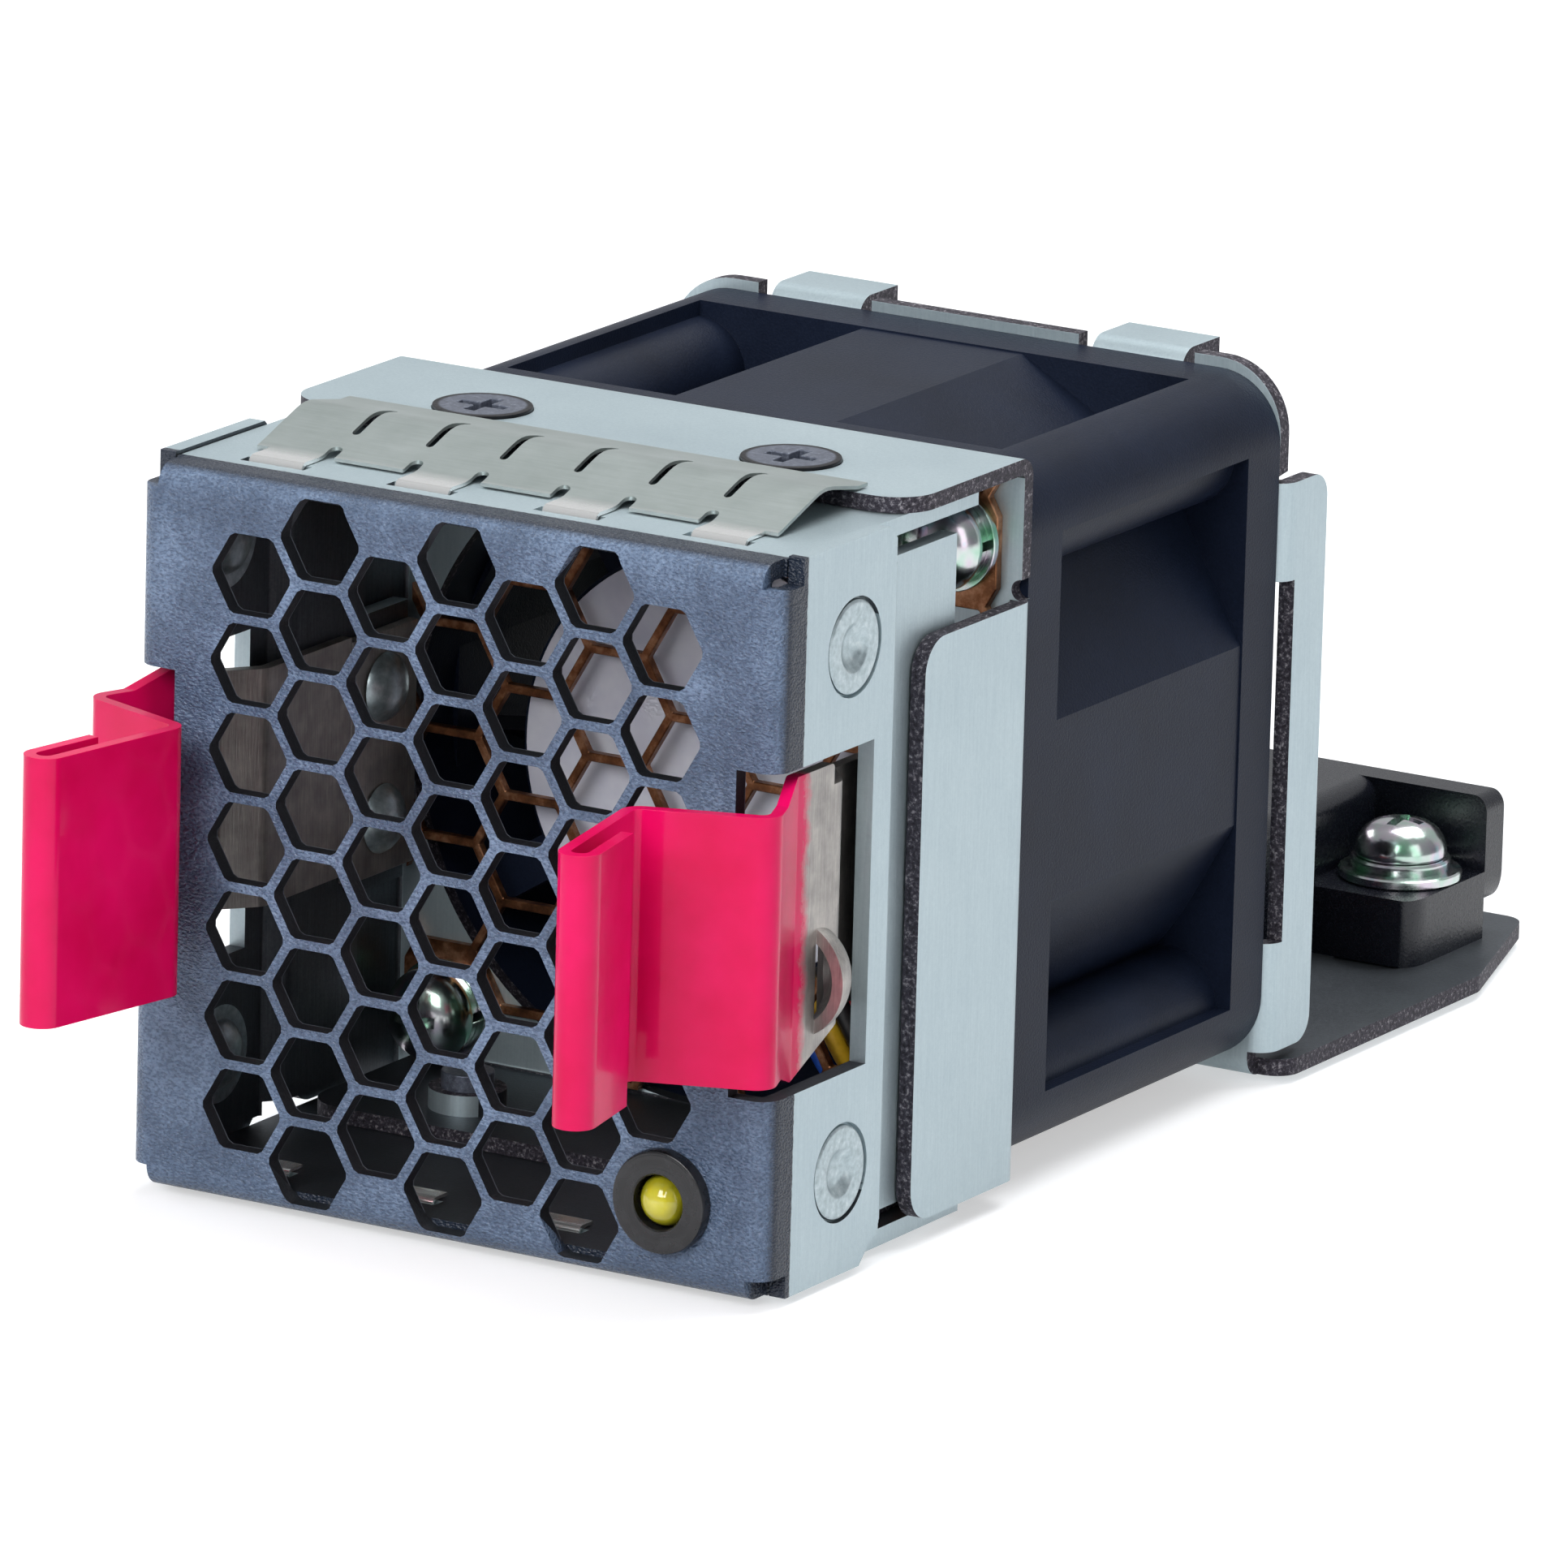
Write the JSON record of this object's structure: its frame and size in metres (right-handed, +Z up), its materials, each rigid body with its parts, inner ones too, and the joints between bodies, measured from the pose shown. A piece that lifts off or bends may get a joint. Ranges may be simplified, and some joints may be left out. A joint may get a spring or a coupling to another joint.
{
  "type": "server fan tray",
  "caption": "Slide-in fan tray with a honeycomb front, squeeze latches, shielding strips, an axial fan and a rear plug.",
  "frame": {"origin": "under the middle of the tray's box, on the surface that it stands on", "axes": "+Y from the latch handles to the rear plug along the tray, +Z up, +X to the right seen from the front"},
  "size_m": [0.044, 0.1074, 0.0433],
  "materials": {
    "painted_front": "dark blue-grey fine texture powder coat on the front, bare galvanised steel on the flanges",
    "galvanised": "satin galvanised steel",
    "contact_strip": "satin nickel plated spring alloy",
    "copper_guard": "dull copper brown",
    "black_screw": "satin black zinc",
    "zinc_screw": "bright zinc with a faint rainbow",
    "fan_plastic": "matte black moulded plastic",
    "rotor_plastic": "matte black moulded plastic",
    "label": "satin white film, blank",
    "latch_left": "gloss magenta grip, bare brushed spring steel behind it",
    "latch_right": "gloss magenta grip, bare brushed spring steel behind it",
    "spring_steel": "brushed spring steel",
    "rivet": "bright steel",
    "black_connector": "satin black moulded plastic",
    "contact_brass": "bright plated brass",
    "lamp_green": "clear yellow-green",
    "lamp_ring": "gloss black with turning marks",
    "shaft_steel": "ground steel",
    "sleeve_brass": "turned brass",
    "core_steel": "laminated steel",
    "coil_copper": "enamelled copper wire",
    "board_green": "green circuit board",
    "magnet": "dark bonded magnet",
    "lead_red": "satin insulation",
    "lead_black": "satin insulation",
    "lead_yellow": "satin insulation",
    "lead_blue": "satin insulation"
  },
  "bodies": {
    "tray": {"front_cover": "painted_front", "flush_rivets_left": "galvanised", "flush_rivets_right": "galvanised", "top_gasket_strip": "contact_strip", "bottom_gasket_strip": "contact_strip", "led_bezel": "lamp_ring", "led_lamp": "lamp_green", "led_legs": "shaft_steel", "right_latch_leaf": "spring_steel", "left_latch_leaf": "spring_steel", "latch_rivets_right": "rivet", "latch_rivets_left": "rivet", "mid_bracket": "galvanised", "inner_guard": "copper_guard", "top_plate_screws": "black_screw", "bottom_plate_screws": "black_screw", "front_fan_screws": "zinc_screw", "front_lock_washers": "zinc_screw", "front_flat_washers": "zinc_screw", "fan_frame": "fan_plastic", "fan_label": "label", "bearing_sleeve": "sleeve_brass", "front_bearing": "shaft_steel", "rear_bearing": "shaft_steel", "stator_core": "core_steel", "stator_coils": "coil_copper", "motor_board": "board_green", "rear_bracket": "galvanised", "rear_fan_screws": "zinc_screw", "connector_body": "black_connector", "connector_contacts": "contact_brass", "connector_screws": "zinc_screw", "connector_washers": "zinc_screw", "connector_nuts": "galvanised", "fan_lead_red": "lead_red", "fan_lead_black": "lead_black", "fan_lead_yellow": "lead_yellow", "fan_lead_blue": "lead_blue"},
    "rotor": {"fan_rotor": "rotor_plastic", "rotor_yoke": "shaft_steel", "magnet_ring": "magnet", "brass_boss": "sleeve_brass", "fan_shaft": "shaft_steel", "shaft_clip": "spring_steel", "preload_washer": "spring_steel"},
    "left_latch": {"left_latch_arm": "latch_left"},
    "right_latch": {"right_latch_arm": "latch_right"}
  },
  "joints": [
    {"name": "fan_spin", "type": "hinge", "parent": "tray", "child": "rotor", "pos_m": [0, 0.00179, 0.0215], "axis": [0, 1, 0], "continuous": true},
    {"name": "left_latch_squeeze", "type": "hinge", "parent": "tray", "child": "left_latch", "pos_m": [-0.0181, -0.02021, 0.021], "axis": [0, 0, 1], "range_deg": [0, 5], "stiffness_Nm_per_rad": 0.6},
    {"name": "right_latch_squeeze", "type": "hinge", "parent": "tray", "child": "right_latch", "pos_m": [0.0181, -0.02021, 0.021], "axis": [0, 0, -1], "range_deg": [0, 5], "stiffness_Nm_per_rad": 0.6}
  ]
}
